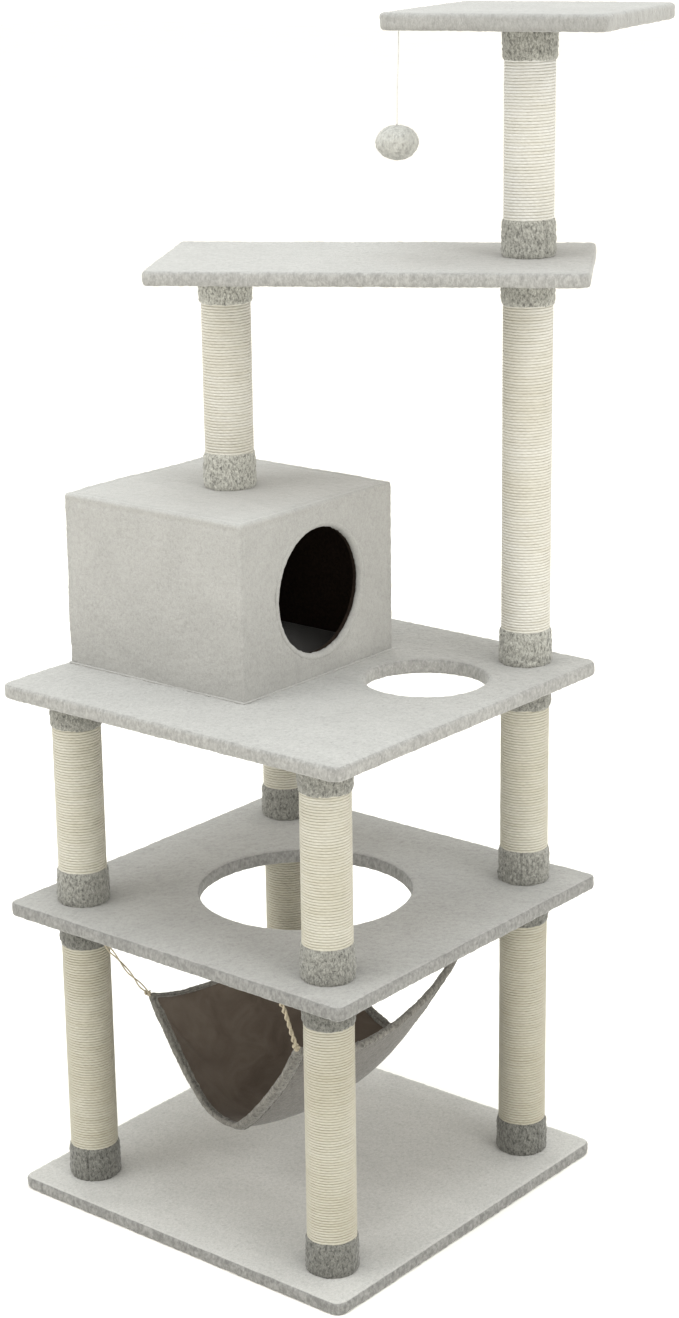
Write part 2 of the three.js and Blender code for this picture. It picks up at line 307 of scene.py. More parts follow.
def plush_finish(name, tone, tint, fleck, nap, tuft_scale, lie=(1.0, 0.75, 0.42), edge=1.0):
    """Short-pile plush: brushed patches, combed tufts and fine fibre flecks, with a soft sheen.

    On upright faces the tone is lowered to the edge share, as painted shade where less light falls than on
    the tops.
    """
    finish = Finish(name, 0.92, sheen=0.3)
    broad = finish.noise(5.5, 3.0, 0.55, 1.2, finish.stretched((1.0, 1.6, 1.0)))
    tufts = finish.noise(tuft_scale, 2.5, 0.6, 0.5, finish.stretched(lie))
    fibres = finish.noise(640, 2.0, 0.7, 0.0, finish.stretched(lie))
    dark = tinted(tone * (1 - nap), tint)
    light = tinted(tone * (1 + nap), tint)
    strands = finish.ramp(fibres, [(0.3, dark), (0.7, light)])
    combed = finish.ramp(tufts, [(0.30, grey(1 - fleck)), (0.5, grey(1.0)), (0.72, grey(1 + 0.6 * fleck))])
    brushed = finish.ramp(broad, [(0.35, grey(0.93)), (0.62, grey(1.0))])
    mixed = finish.blended(strands, combed)
    mixed = finish.blended(mixed, brushed)
    # Painted shade: upright faces are darkened to the edge share, broken up by noise.
    if edge < 1:
        facing = finish.add("ShaderNodeSeparateXYZ")
        finish.join(finish.add("ShaderNodeTexCoord").outputs["Normal"], facing.inputs[0])
        side_shade_noise = finish.noise(150, 2.0, 0.6, 0.3, finish.stretched((1.0, 1.0, 0.7)))
        flat = finish.ramp(facing.outputs["Z"], [(0.45, grey(0.0)), (0.9, grey(1.0))])
        hanging = finish.ramp(side_shade_noise, [(0.35, grey(edge - 0.12)), (0.65, grey(edge + 0.12))])
        mixed = finish.blended(mixed, finish.blended(flat, hanging, "LIGHTEN"))
    finish.color(mixed)
    finish.bump(finish.summed(tufts, fibres, 0.6), 0.0016, 0.5)
    return finish.material


def chipboard_finish(name, dark, light):
    """Raw pressed board: flat chips of wood in glue, a little lighter and darker."""
    finish = Finish(name, 0.85)
    chips = finish.add("ShaderNodeTexVoronoi", {"Scale": 260})
    finish.join(finish.stretched((1.0, 0.45, 1.0)), chips.inputs["Vector"])
    grain = finish.noise(900, 2.0)
    tone = finish.ramp(chips.outputs["Color"], [(0.2, dark), (0.8, light)])
    fine = finish.ramp(grain, [(0.3, grey(0.75)), (0.7, grey(1.0))])
    finish.color(finish.blended(tone, fine))
    finish.bump(grain, 0.0006, 0.4)
    return finish.material


def repaint(nodes, material):
    for node in nodes:
        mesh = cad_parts[node].data
        mesh.materials.clear()
        mesh.materials.append(material)


PLUSH_TINT = (1.0, 0.988, 0.945)
PLUSH_FLECK = 0.15
PLUSH_NAP = 0.12
PLUSH_TUFTS = 210


# Each plate's plush has its own tone and edge share: lit and shaded copies of one plush, as painted light
# and shade.
def plate_plush(name, tone, edge=1.0):
    """The plates' fabric: fine tufts about 5 mm apart, with only faint flecks and fibres."""
    return plush_finish(name, tone, PLUSH_TINT, PLUSH_FLECK, PLUSH_NAP, PLUSH_TUFTS, edge=edge)


FOLD_HEIGHT = 0.0002
chipboard = chipboard_finish("chipboard", (0.34, 0.22, 0.12), (0.58, 0.42, 0.26))
# The base's plush is lighter than the other plates' as painted light, and its sides are darkest as painted
# shade.
base_cover = flat_plate("base", 0.020, 0.0018, 11, plate_plush("base_grey_plush", 0.455, 0.47))
pressed = mesh_points(base_cover.data)[0]
pressed[:, 2] = np.maximum(pressed[:, 2], FOLD_HEIGHT)
base_cover.data.vertices.foreach_set("co", pressed.ravel())
base_cover.data.update()
repaint(["base_board"], chipboard)

# ------------------------------------------------------------
# Posts. Each is a cardboard tube wound with 5 mm sisal rope in close level turns, glued on,
# with a darker plush collar glued round each end. Four carry the shelf and four the platform;
# the tall post, the roof post and the top post make the tower.
# ------------------------------------------------------------
COLUMNS = ["front_left", "front_right", "back_left", "back_right"]
POSTS = [f"lower_post_{c}" for c in COLUMNS] + [f"middle_post_{c}" for c in COLUMNS]
POSTS += ["tall_post", "roof_post", "top_post"]
ROPE_PITCH = 0.005
ROPE_RADIUS = 0.0026
WOUND_RADIUS = 0.0433
COLLAR_RADIUS = 0.0457
TURN_STEPS = 60
ROPE_SIDES = 8
ROPE_FLAT = (0.0021, 0.0028)
ROPE_DRIFT = 0.0005
ROPE_SLACK = 0.0002
ROPE_SWELL = 0.06
COLLAR_COLUMNS = 172
COLLAR_ROW = 0.0017
COLLAR_PILE = 0.0006
COLLAR_FLARE = 0.0013
COLLAR_ROLL = 0.0034
COLLAR_INSIDE = 0.0405
SEAM_DEPTH = 0.0022
SEAM_WIDTH = 0.0014
LIP_HEIGHT = 0.0007
LIP_PLACE = 0.0036
LIP_WIDTH = 0.0016


def grid_faces(rows, columns, closed=False):
    """Quads over rows of points; closed joins the last column to the first."""
    row = np.arange(rows - 1)[:, None] * columns
    column = np.arange(columns if closed else columns - 1)
    beside = (column + 1) % columns
    quads = [row + column, row + beside, row + columns + beside, row + columns + column]
    return np.stack(quads, axis=2).reshape(-1, 4).tolist()


def ring_faces(rows, columns):
    """Quads over rows of points that close both ways, as the skin of a ring does."""
    faces = grid_faces(rows, columns, closed=True)
    last = (rows - 1) * columns
    for column in range(columns):
        beside = (column + 1) % columns
        faces.append([last + column, last + beside, beside, column])
    return faces


def wound_rope(name, x, y, low, high, seed, finish):
    """The rope as one closed tube that follows its helix round the post, with its ends tucked in."""
    turns = (high - low - 2 * ROPE_RADIUS) / ROPE_PITCH
    count = int(turns * TURN_STEPS)
    along = np.arange(count + 1) / TURN_STEPS
    angle = 2 * math.pi * along
    around = np.column_stack([np.cos(angle), np.sin(angle), along * 0.09])
    wander = lumps(around * 1.4, 1.0, seed)
    slack = lumps(around * 2.3 + 50, 1.0, seed + 5)
    out = np.column_stack([np.cos(angle), np.sin(angle), np.zeros(count + 1)])
    up = np.array([0.0, 0.0, 1.0])
    middle = out * (WOUND_RADIUS - ROPE_FLAT[0] + ROPE_SLACK * slack)[:, None]
    middle[:, 2] = low + ROPE_RADIUS + along * ROPE_PITCH + ROPE_DRIFT * wander
    middle += [x, y, 0]
    thick = 1 + ROPE_SWELL * lumps(around * 6 + 9, 1.0, seed + 9)
    rings = []
    for side in range(ROPE_SIDES):
        a = 2 * math.pi * side / ROPE_SIDES
        section = ROPE_FLAT[0] * math.cos(a) * out + ROPE_FLAT[1] * math.sin(a) * up
        rings.append(middle + thick[:, None] * section)
    points = np.stack(rings, axis=1).reshape(-1, 3)
    faces = grid_faces(count + 1, ROPE_SIDES, closed=True)
    faces.append(list(range(ROPE_SIDES))[::-1])
    faces.append([side + count * ROPE_SIDES for side in range(ROPE_SIDES)])
    rope = add_piece(name, points, faces, finish)
    layer = rope.data.uv_layers.new(name="rope")
    corners = np.empty(len(rope.data.loops), np.int64)
    rope.data.loops.foreach_get("vertex_index", corners)
    step = corners // ROPE_SIDES
    side = corners % ROPE_SIDES
    length = step / TURN_STEPS * 2 * math.pi * WOUND_RADIUS
    spread = side / ROPE_SIDES
    layer.data.foreach_set("uv", np.column_stack([length, spread]).ravel())
    crown = rope.data.uv_layers.new(name="crown")
    outward = np.cos(2 * math.pi * spread)
    crown.data.foreach_set("uv", np.column_stack([outward, length]).ravel())
    return rope


def plush_collar(name, x, y, low, high, flare, seam, seed, finish):
    """A sleeve of longer plush, rolled in at both ends; the lips of its upright seam stand up."""
    columns = COLLAR_COLUMNS
    rows = max(10, round((high - low) / COLLAR_ROW))
    angle = np.linspace(0, 2 * math.pi, columns, endpoint=False)
    share = np.linspace(0, 1, rows)
    rounding = COLLAR_ROLL * (np.abs(2 * share - 1) ** 9)
    radius = COLLAR_RADIUS + COLLAR_PILE - rounding
    radius += flare * COLLAR_FLARE * (0.5 - share)
    wide = np.repeat(radius, columns)
    theta = np.tile(angle, rows)
    height = np.repeat(low + (high - low) * share, columns)
    gap = np.abs((theta - seam + math.pi) % (2 * math.pi) - math.pi) * COLLAR_RADIUS
    wide -= SEAM_DEPTH * np.exp(-(gap / SEAM_WIDTH) ** 2)
    wide += LIP_HEIGHT * np.exp(-((gap - LIP_PLACE) / LIP_WIDTH) ** 2)
    flat = np.column_stack([np.cos(theta) * wide, np.sin(theta) * wide, height])
    flat += [x, y, 0]
    tuft = 0.0013 * lumps(flat, 0.0046, seed) + 0.0007 * lumps(flat, 0.009, seed + 1)
    tuft += 0.0005 * lumps(flat, 0.05, seed + 2)
    edge = np.minimum(height - low, high - height)
    flat[:, 2] += np.where(edge < 0.001, 0.0006, 0) * lumps(flat, 0.006, seed + 3)
    out = np.column_stack([np.cos(theta), np.sin(theta), np.zeros(len(theta))])
    flat += out * tuft[:, None]
    for z in (high, low):
        ring = np.column_stack([np.cos(angle), np.sin(angle)]) * COLLAR_INSIDE + [x, y]
        flat = np.vstack([flat, np.column_stack([ring, np.full(columns, z)])])
    return add_piece(name, flat, ring_faces(rows + 2, columns), finish)


def sisal_finish(name, tone, tint):
    """Pale natural sisal: three twisted strands and fine stray fibres, with painted shade and some dust
    between the turns.
    """
    finish = Finish(name, 0.8, sheen=0.1)
    uv = finish.add("ShaderNodeUVMap", uv_map="rope").outputs["UV"]
    twist = finish.add(
        "ShaderNodeTexWave", {"Scale": 1.0, "Distortion": 0.6, "Detail": 1.0},
        wave_type="BANDS", bands_direction="DIAGONAL",
    )
    finish.join(finish.stretched((52.0, 0.95, 1.0), uv), twist.inputs["Vector"])
    fibres = finish.noise(1.0, 3.0, 0.65, 0.0, finish.stretched((160.0, 9.0, 1.0), uv))
    patch = finish.noise(9.0, 2.0, 0.5)
    turns = finish.noise(1.0, 2.0, 0.5, 0.0, finish.stretched((14.0, 14.0, 190.0)))
    hemp = finish.ramp(fibres, [(0.3, tinted(0.92 * tone, tint)), (0.62, tinted(1.06 * tone, tint))])
    # Painted shade: a little darker in the lay between the strands.
    strand = finish.ramp(twist.outputs["Fac"], [(0.0, grey(0.94, 0.01)), (0.5, grey(1.0))])
    age = finish.ramp(patch, [(0.35, (0.95, 0.94, 0.91)), (0.65, grey(1.0))])
    uneven = finish.ramp(turns, [(0.32, (0.93, 0.92, 0.89)), (0.6, grey(1.0))])
    # Painted shade with some dust: darker on the sides of the rope that face the post and the next turns.
    crown = finish.add("ShaderNodeSeparateXYZ")
    finish.join(finish.add("ShaderNodeUVMap", uv_map="crown").outputs["UV"], crown.inputs[0])
    dust_and_groove_shade = finish.ramp(crown.outputs["X"], [(0.25, (0.68, 0.65, 0.58)), (0.85, grey(1.0))])
    mixed = finish.blended(hemp, strand)
    mixed = finish.blended(mixed, dust_and_groove_shade)
    mixed = finish.blended(mixed, uneven)
    finish.color(finish.blended(mixed, age))
    finish.bump(finish.summed(twist.outputs["Fac"], fibres, 0.6), 0.0005, 0.5)
    return finish.material


# Each tier of posts has its own rope tone, rope tint and collar tone, as painted light and shade: darker
# and warmer low down where less light reaches, lighter up the tower, brightest on the roof post's collars.
COLLAR_TINT = (1.0, 0.992, 0.90)
TIER_PAINTED_SHADES = {
    "lower": (0.45, (1.0, 0.965, 0.825), 0.150),
    "middle": (0.515, (1.0, 0.975, 0.86), 0.235),
    "tall": (0.61, (1.0, 0.985, 0.915), 0.325),
    "roof": (0.61, (1.0, 0.985, 0.915), 0.40),
    "top": (0.675, (1.0, 1.0, 0.97), 0.325),
}
finishes = {
    tier: (sisal_finish(f"{tier}_sisal", rope_tone, rope_tint),
           plush_finish(f"{tier}_collar_plush", tone, COLLAR_TINT, 0.62, 0.35, 270, (1, 1, 0.55)))
    for tier, (rope_tone, rope_tint, tone) in TIER_PAINTED_SHADES.items()
}
ROPE_TUCK = 0.006
for index, post in enumerate(POSTS):
    post_low, post_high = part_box(post)
    bottom_low, bottom_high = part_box(f"{post}_bottom_collar")
    top_low, top_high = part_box(f"{post}_top_collar")
    x = (post_low.x + post_high.x) / 2
    y = (post_low.y + post_high.y) / 2
    sisal, collar_plush = finishes[post.split("_")[0]]
    rope = wound_rope(
        f"{post}_rope", x, y, bottom_high.z - ROPE_TUCK, top_low.z + ROPE_TUCK, 100 + index, sisal
    )
    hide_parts(post)
    ends = [("bottom", bottom_low.z, bottom_high.z, 1), ("top", top_low.z, top_high.z, -1)]
    for number, (end, low, high, flare) in enumerate(ends):
        seam = math.radians(-62 + 47 * ((index * 5 + number * 3) % 7))
        name = f"{post}_{end}_sleeve"
        sleeve = plush_collar(
            name, x, y, low, high, flare, seam, 200 + 7 * index + number, collar_plush
        )
        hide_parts(f"{post}_{end}_collar")

# ------------------------------------------------------------
# Shelf. The same chipboard and plush as the base, with a wide round hole cut through it over
# the hammock; the plush is pulled round the rim of the hole too.
# ------------------------------------------------------------
SHELF_HOLE = (0, 0, 0.193)
# The shelf's sides are darkened as painted shade under the platform.
shelf_plush = plate_plush("shelf_grey_plush", 0.345, 0.62)
flat_plate("shelf", 0.013, 0.002, 21, shelf_plush, SHELF_HOLE)
repaint(["shelf_board"], chipboard)

# ------------------------------------------------------------
# Platform. It carries the house on its left and the tower on its back right corner, and has
# a smaller round climbing hole between them.
# ------------------------------------------------------------
PLATFORM_HOLE = (0.201, 0.096, 0.109)
# The platform's sides are a little darkened as painted shade.
platform_plush = plate_plush("platform_grey_plush", 0.352, 0.85)
flat_plate("platform", 0.018, 0.002, 31, platform_plush, PLATFORM_HOLE)
repaint(["platform_board"], chipboard)

# ------------------------------------------------------------
# House. Four walls and a roof of brown hardboard-faced panels, under one plush skin that is
# glued on, pinched into soft ridges along the edges and lapped into the round entrance. Inside,
# the hardboard is darkened to near black as painted shade.
# ------------------------------------------------------------
ENTRANCE = Vector((0, -0.005, 1.126))
ENTRANCE_CUT = 0.1165
SKIN_DEPTH = 0.011
SKIN_PROUD = 0.0016
SKIN_GRID = 0.0037
SKIN_WAVE = 0.0012
RIM_SHAPE = (0.984, 1.016)
FOOT_RADIUS = 0.0022
FOOT_LUMPS = 0.0006
FOOT_STEP = 0.004
FLOOR_LOW = Vector((-0.3405, -0.1935, 0.9712))
FLOOR_HIGH = Vector((0.0325, 0.1775, 0.9890))


def box_solid(low, high):
    solid = bmesh.new()
    bmesh.ops.create_cube(solid, size=1.0)
    for vertex in solid.verts:
        vertex.co = Vector([low[i] + (vertex.co[i] + 0.5) * (high[i] - low[i]) for i in range(3)])
    return solid


def house_skin(low, high):
    """The plush skin as a thick shell, open below, with the round entrance cut through it."""
    shell = box_solid(low, high)
    edges = [e for e in shell.edges if max(v.co.z for v in e.verts) > high.z - 0.001]
    bmesh.ops.bevel(shell, geom=edges, offset=0.005, segments=2, affect="EDGES", profile=0.5)
    outer = bpy.data.meshes.new("outer")
    shell.to_mesh(outer)
    carrier = placed("skin", outer)
    inset = Vector((SKIN_DEPTH, SKIN_DEPTH, 0))
    inside = box_solid(low + inset - Vector((0, 0, 0.01)), high - inset - Vector((0, 0, SKIN_DEPTH)))
    hole = bmesh.new()
    quarter_turn = Matrix.Rotation(math.pi / 2, 4, "Y")
    across = Matrix.Translation((high.x, ENTRANCE.y, ENTRANCE.z)) @ quarter_turn
    bmesh.ops.create_cone(
        hole, cap_ends=True, segments=96, radius1=ENTRANCE_CUT, radius2=ENTRANCE_CUT,
        depth=0.1, matrix=across,
    )
    cutters = []
    for number, cutter in enumerate([inside, hole]):
        mesh = bpy.data.meshes.new("cutter")
        cutter.to_mesh(mesh)
        knife = placed("cutter", mesh)
        cutters.append(knife)
        cut = carrier.modifiers.new(f"cut_{number}", "BOOLEAN")
        cut.operation = "DIFFERENCE"
        cut.object = knife
    solid = finished_mesh(carrier)
    for used in cutters:
        bpy.data.objects.remove(used)
    return evened(solid, SKIN_GRID)


def pinch_edges(mesh, low, high):
    """Draws the plush into a low ridge, with a shallow dip beside it, along each edge."""
    points, normals = mesh_points(mesh)
    from_sides = np.minimum(points - low, high - points)
    from_sides[:, 2] = high[2] - points[:, 2]
    near = np.sort(from_sides, axis=1)
    on_skin = near[:, 0] < 0.004
    ridge = np.exp(-((near[:, 1] - 0.003) / 0.0035) ** 2)
    dip = np.exp(-((near[:, 1] - 0.012) / 0.005) ** 2)
    rough = lumps(points, 0.013, 51)
    height = np.where(on_skin, (0.0013 + 0.0007 * rough) * ridge - 0.0009 * dip, 0)
    mesh.vertices.foreach_set("co", (points + normals * height[:, None]).ravel())
    mesh.update()


def tube(middle, radius, sides, closed=False):
    """A round tube along the given points, with closed ends unless it runs back to its start."""
    middle = np.asarray(middle, float)
    radius = np.broadcast_to(radius, len(middle))
    ahead = np.gradient(middle, axis=0)
    if closed:
        ahead = np.roll(middle, -1, axis=0) - np.roll(middle, 1, axis=0)
    ahead /= np.linalg.norm(ahead, axis=1, keepdims=True)
    side = np.cross(ahead[0], [0.31, 0.52, 0.79])
    sideways = []
    for direction in ahead:
        side = side - direction * side.dot(direction)
        side = side / np.linalg.norm(side)
        sideways.append(side)
    sideways = np.array(sideways)
    other = np.cross(ahead, sideways)
    angle = np.linspace(0, 2 * math.pi, sides, endpoint=False)[None, :, None]
    ring = np.cos(angle) * sideways[:, None] + np.sin(angle) * other[:, None]
    points = (middle[:, None] + ring * radius[:, None, None]).reshape(-1, 3)
    faces = grid_faces(len(middle), sides, closed=True)
    last = (len(middle) - 1) * sides
    if closed:
        shift = min(range(sides), key=lambda k: np.linalg.norm(points[last] - points[k]))
        for k in range(sides):
            one = (k + shift) % sides
            two = (k + 1 + shift) % sides
            faces.append([last + k, last + (k + 1) % sides, two, one])
    else:
        faces.append(list(range(sides))[::-1])
        faces.append([last + k for k in range(sides)])
    return points, faces


def entrance_roll(wall):
    """The plush lap round the entrance: rolled over the rim and glued down inside it.

    Each point of its section is a distance out from the wall and a radius from the centre.
    """
    section = [
        (-0.0010, 0.1225), (0.0008, 0.1195), (0.0013, 0.1165), (0.0002, 0.1135), (-0.0018, 0.1112),
        (-0.0040, 0.1098), (-0.0062, 0.1090), (-0.0078, 0.1090), (-0.0086, 0.1098),
        (-0.0078, 0.1106), (-0.0052, 0.1112), (-0.0048, 0.1195),
    ]
    columns = 230
    angle = np.linspace(0, 2 * math.pi, columns, endpoint=False)
    rings = []
    for depth, radius in section:
        rings.append(np.column_stack([
            np.full(columns, wall + depth),
            ENTRANCE.y + RIM_SHAPE[0] * radius * np.cos(angle),
            ENTRANCE.z + RIM_SHAPE[1] * radius * np.sin(angle),
        ]))
    points = np.vstack(rings)
    away = points - np.array([wall - 0.010, ENTRANCE.y, ENTRANCE.z])
    ring_way = np.column_stack([np.zeros(len(points)), away[:, 1], away[:, 2]])
    ring_way /= np.linalg.norm(ring_way, axis=1, keepdims=True)
    pile = 0.0009 * lumps(points, 0.0048, 55) + 0.0005 * lumps(points, 0.012, 56)
    points -= ring_way * pile[:, None]
    return points, ring_faces(len(section), columns)


def walked(corners, step):
    """Points along a closed line of straight sides, about one step apart."""
    points = []
    for here, there in zip(corners, corners[1:] + corners[:1]):
        count = round((Vector(there) - Vector(here)).length / step)
        for i in range(count):
            points.append(list(Vector(here).lerp(Vector(there), i / count)))
    return points


house_low, house_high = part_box("house_cover")
proud = Vector((SKIN_PROUD, SKIN_PROUD, SKIN_PROUD))
skin_low = house_low - Vector((SKIN_PROUD, SKIN_PROUD, 0))
skin_high = house_high + proud
house_mesh = house_skin(skin_low, skin_high)
pinch_edges(house_mesh, np.array(skin_low), np.array(skin_high))
raise_pile(house_mesh, PLUSH_TUFT, SKIN_WAVE, 41)
house_plush = plush_finish("house_grey_plush", 0.36, PLUSH_TINT, 0.11, 0.11, 230, (1.0, 1.0, 0.8))
house = add_mesh("house_plush", house_mesh, house_plush)
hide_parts("house_cover")
roll = add_piece("entrance_roll", *entrance_roll(skin_high.x), house_plush)
foot_z = house_low.z + 0.0026
foot_line = walked([
    (skin_low.x, skin_low.y, foot_z), (skin_high.x, skin_low.y, foot_z),
    (skin_high.x, skin_high.y, foot_z), (skin_low.x, skin_high.y, foot_z),
], FOOT_STEP)
foot_radius = FOOT_RADIUS + FOOT_LUMPS * lumps(np.array(foot_line), 0.009, 58)
foot = add_piece("house_foot_roll", *tube(foot_line, foot_radius, 8, closed=True), house_plush)
# The house floor is a board of near-black felt: painted shade of the unlit inside.
floor_board = box_solid(FLOOR_LOW, FLOOR_HIGH)
bmesh.ops.bevel(floor_board, geom=floor_board.edges[:], offset=0.002, segments=2, affect="EDGES")
floor_mesh = bpy.data.meshes.new("house_floor")
floor_board.to_mesh(floor_mesh)
felt = plush_finish("floor_felt_in_painted_shade", 0.024, (1.0, 0.90, 0.78), 0.2, 0.15, 300)
inner_floor = add_mesh("house_floor", floor_mesh, felt, smooth=False)
# Painted shade: the brown hardboard is darkened to near black.
hardboard = chipboard_finish("hardboard_in_painted_shade", (0.020, 0.012, 0.008), (0.034, 0.021, 0.014))
panels = [f"house_{side}_panel" for side in ("front", "back", "left", "entrance", "roof")]
repaint(panels, hardboard)

# ------------------------------------------------------------
# Bridge. A long narrow plate that lies slantwise from the roof post to the tall post.
# ------------------------------------------------------------
BRIDGE_SIZE = (0.737, 0.375)
BRIDGE_TURN = 32.2
bridge_low, bridge_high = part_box("bridge_cover")
# The bridge's plush tone is lowered a little and its sides very slightly darkened, as painted shade.
plush_plate(
    "bridge", BRIDGE_SIZE, bridge_high.z - bridge_low.z, 0.014, 0.001,
    (bridge_low + bridge_high) / 2, BRIDGE_TURN, 61,
    plate_plush("bridge_grey_plush", 0.332, 0.92),
)
repaint(["bridge_board"], chipboard)

# ------------------------------------------------------------
# Perch. The small lookout plate on the top post, turned a little against the base.
# ------------------------------------------------------------
PERCH_SIZE = (0.38, 0.405)
PERCH_TURN = 16.4
perch_low, perch_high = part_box("perch_cover")
# The perch's plush tone is lowered as painted shade.
plush_plate(
    "perch", PERCH_SIZE, perch_high.z - perch_low.z, 0.014, 0.0026,
    (perch_low + perch_high) / 2, PERCH_TURN, 71,
    plate_plush("perch_grey_plush", 0.298),
)
repaint(["perch_board"], chipboard)

# ------------------------------------------------------------
# Hammock. Two layers of cloth sewn face to face, smooth brown suede inside and grey plush
# outside, with a plush hem folded round all four edges. It hangs by its corners.
# ------------------------------------------------------------
CORNERS = {
    "front_left": Vector((-0.191, -0.215, 0.377)),
    "front_right": Vector((0.159, -0.219, 0.372)),
    "back_left": Vector((-0.160, 0.225, 0.390)),
    "back_right": Vector((0.187, 0.225, 0.427)),
}
# Where the sheet hangs lowest, how deep, and how far it draws in, for the front edge and the
# back edge; the rails' sag is for the left and the right one.
LOWEST_AT = (0.48, 0.65)
TROUGH_DEPTH = (0.211, 0.178)
RAIL_SAG = (0.030, 0.060)
EDGE_PULL = (0.037, 0.030)
CURVE = {"left": 2.9, "right": 1.16, "back": 1.6}
CLOTH_STEPS = (100, 80)
CLOTH_HALF = 0.0022
SETTLE_STEPS = 30
SETTLE_LIMIT = 0.010


def hang(u, v):
    """The sagging sheet: u runs from left to right and v from front to back, both 0 to 1."""
    front_left, front_right, back_left, back_right = (np.array(c) for c in CORNERS.values())
    across = u[:, None]
    back = v[:, None]
    point = (front_left * (1 - across) + front_right * across) * (1 - back)
    point += (back_left * (1 - across) + back_right * across) * back
    smooth = v * v * (3 - 2 * v)
    lowest = LOWEST_AT[0] + (LOWEST_AT[1] - LOWEST_AT[0]) * smooth
    reach = np.where(u < lowest, (lowest - u) / lowest, (u - lowest) / (1 - lowest))
    front_curve = np.where(u < lowest, CURVE["left"], CURVE["right"])
    trough = 1 - reach ** (front_curve + (CURVE["back"] - front_curve) * smooth)
    point[:, 2] -= (TROUGH_DEPTH[0] + (TROUGH_DEPTH[1] - TROUGH_DEPTH[0]) * smooth) * trough
    point[:, 2] -= (RAIL_SAG[0] + (RAIL_SAG[1] - RAIL_SAG[0]) * u) * 4 * v * (1 - v)
    point[:, 1] += (EDGE_PULL[0] * (1 - v) ** 2 - EDGE_PULL[1] * v ** 2) * trough
    return point


def settle(points, faces, held, limit):
    """Lets the cloth sag and crease between the held points, no further than limit."""
    mesh = bpy.data.meshes.new("settling")
    mesh.from_pydata(points.tolist(), [], faces)
    cloth = placed("settling", mesh)
    pins = cloth.vertex_groups.new(name="held")
    pins.add(np.flatnonzero(held).tolist(), 1.0, "REPLACE")
    fabric = cloth.modifiers.new("fabric", "CLOTH")
    fabric.settings.quality = 7
    fabric.settings.mass = 0.25
    fabric.settings.tension_stiffness = 12
    fabric.settings.compression_stiffness = 12
    fabric.settings.shear_stiffness = 4
    fabric.settings.bending_stiffness = 0.15
    fabric.settings.shrink_min = -0.035
    fabric.settings.vertex_group_mass = "held"
    fabric.collision_settings.use_collision = False
    fabric.point_cache.frame_start = 1
    fabric.point_cache.frame_end = SETTLE_STEPS
    for step in range(1, SETTLE_STEPS + 1):
        bpy.context.scene.frame_set(step)
    graph = bpy.context.evaluated_depsgraph_get()
    settled = mesh_points(cloth.evaluated_get(graph).to_mesh())[0]
    bpy.data.objects.remove(cloth)
    bpy.context.scene.frame_set(1)
    moved = settled - points
    far = np.linalg.norm(moved, axis=1)
    return points + moved * (limit * np.tanh(far / limit) / np.maximum(far, 1e-9))[:, None]


def rim(grid):
    """The values along the four edges of a grid, once round."""
    return np.concatenate([grid[0, :-1], grid[:-1, -1], grid[-1, :0:-1], grid[:0:-1, 0]])


def sheet_normals(sheet):
    """The direction square to the sheet at each of its points."""
    across = np.gradient(sheet, axis=1)
    along = np.gradient(sheet, axis=0)
    normal = np.cross(across, along)
    return normal / np.linalg.norm(normal, axis=2, keepdims=True)


columns, rows = CLOTH_STEPS
u_all, v_all = np.meshgrid(np.linspace(0, 1, columns), np.linspace(0, 1, rows))
hung = hang(u_all.ravel(), v_all.ravel())
near_corner = np.hypot(
    np.minimum(u_all, 1 - u_all).ravel() * 0.5, np.minimum(v_all, 1 - v_all).ravel() * 0.45
) < 0.016
hung = settle(hung, grid_faces(rows, columns), near_corner, SETTLE_LIMIT)
sheet = hung.reshape(rows, columns, 3)
normal = sheet_normals(sheet)


def two_faced(sheet, normal):
    """A closed sheet: the inner face first, then the outer face, then the edge round both."""
    upper = (sheet + normal * CLOTH_HALF).reshape(-1, 3)
    lower = (sheet - normal * CLOTH_HALF).reshape(-1, 3)
    lower -= normal.reshape(-1, 3) * (0.0005 * lumps(lower, 0.008, 87))[:, None]
    count = len(upper)
    top = grid_faces(rows, columns)
    bottom = [[a + count for a in face[::-1]] for face in top]
    ids = np.arange(count).reshape(rows, columns)
    ring = rim(ids).tolist()
    edge = [[a + count, b + count, b, a] for a, b in zip(ring, ring[1:] + ring[:1])]
    return np.vstack([upper, lower]), top + bottom + edge, len(top)


def suede_finish(name, dark, light):
    """Brushed suede cloth: a fine nap with slow changes of shade where it has been stroked."""
    finish = Finish(name, 0.9, sheen=0.25)
    nap = finish.noise(520, 3.0, 0.7)
    stroked = finish.noise(13, 3.0, 0.6, 1.5)
    tone = finish.ramp(stroked, [(0.32, dark), (0.68, light)])
    fine = finish.ramp(nap, [(0.3, grey(0.86)), (0.7, grey(1.0))])
    finish.color(finish.blended(tone, fine))
    finish.bump(finish.summed(nap, finish.noise(120, 2.0), 0.8), 0.0009, 0.45)
    return finish.material


suede = suede_finish("brown_suede", (0.095, 0.072, 0.055), (0.14, 0.112, 0.088))
outer_plush = plush_finish("taupe_plush", 0.15, (1.0, 0.94, 0.85), 0.35, 0.2, 230)
points, faces, inner_count = two_faced(sheet, normal)
cloth = add_piece("hammock_sheet", points, faces, suede, "hammock")
cloth.data.materials.append(outer_plush)
which = np.ones(len(faces), np.int32)
which[:inner_count] = 0
cloth.data.polygons.foreach_set("material_index", which)
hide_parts("hammock_cloth")

